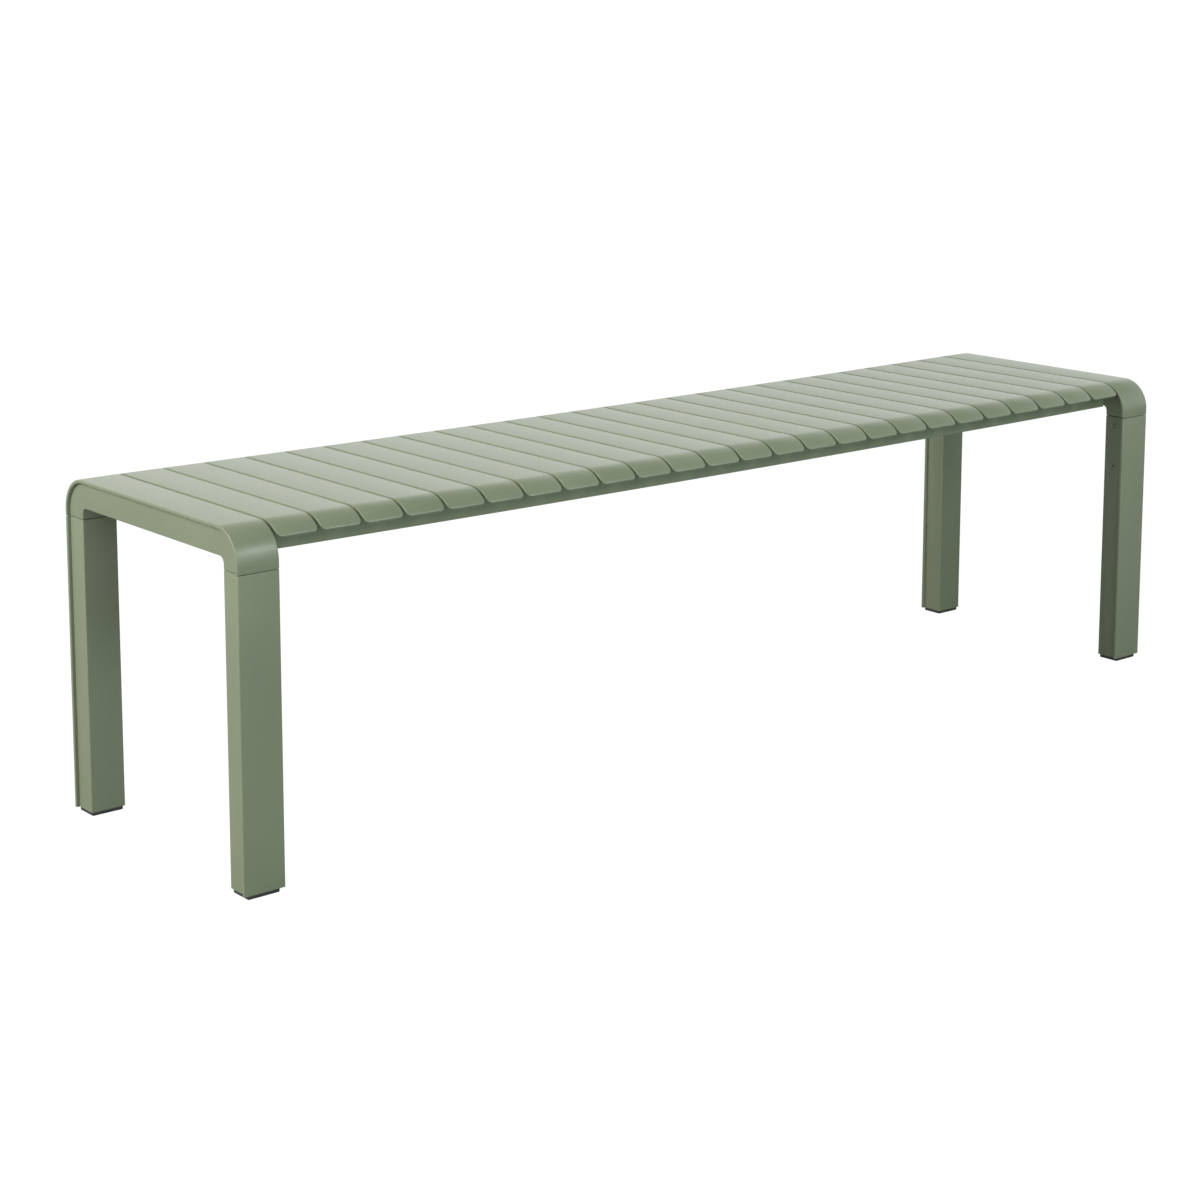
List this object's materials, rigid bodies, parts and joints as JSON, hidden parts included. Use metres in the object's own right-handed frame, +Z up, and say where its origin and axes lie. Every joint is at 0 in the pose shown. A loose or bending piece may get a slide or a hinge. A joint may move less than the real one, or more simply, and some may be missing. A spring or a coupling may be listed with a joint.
{
  "type": "backless bench",
  "caption": "Backless garden bench with a slatted metal seat that curves down at its long edges, carried between two arched end frames on bolt-on legs.",
  "frame": {"origin": "on the floor under the middle of the seat", "axes": "+X along the bench, +Y from the front to the rear, +Z up"},
  "size_m": [1.75, 0.44, 0.47],
  "materials": {
    "green_coat": "satin sage green powder coat on aluminium",
    "bare_aluminium": "mill finish",
    "plated_steel": "zinc plated",
    "black_plastic": "moulded, fine texture"
  },
  "bodies": {
    "root": {"end_arch_left": "green_coat", "end_arch_right": "green_coat", "slat_01": "green_coat", "slat_02": "green_coat", "slat_03": "green_coat", "slat_04": "green_coat", "slat_05": "green_coat", "slat_06": "green_coat", "slat_07": "green_coat", "slat_08": "green_coat", "slat_09": "green_coat", "slat_10": "green_coat", "slat_11": "green_coat", "slat_12": "green_coat", "slat_13": "green_coat", "slat_14": "green_coat", "slat_15": "green_coat", "slat_16": "green_coat", "slat_17": "green_coat", "slat_18": "green_coat", "slat_19": "green_coat", "slat_20": "green_coat", "slat_21": "green_coat", "slat_22": "green_coat", "slat_23": "green_coat", "slat_24": "green_coat", "slat_25": "green_coat", "rail_front": "green_coat", "rail_rear": "green_coat", "slat_welds_front": "green_coat", "slat_welds_rear": "green_coat", "rail_welds_left": "green_coat", "rail_welds_right": "green_coat", "leg_front_left": "green_coat", "leg_front_right": "green_coat", "leg_rear_left": "green_coat", "leg_rear_right": "green_coat", "spigot_front_left": "bare_aluminium", "spigot_front_right": "bare_aluminium", "spigot_rear_left": "bare_aluminium", "spigot_rear_right": "bare_aluminium", "leg_screws_front_left": "green_coat", "leg_screws_front_right": "green_coat", "leg_screws_rear_left": "green_coat", "leg_screws_rear_right": "green_coat", "inserts_front_left": "plated_steel", "inserts_front_right": "plated_steel", "inserts_rear_left": "plated_steel", "inserts_rear_right": "plated_steel", "foot_front_left": "black_plastic", "foot_front_right": "black_plastic", "foot_rear_left": "black_plastic", "foot_rear_right": "black_plastic"}
  },
  "joints": []
}
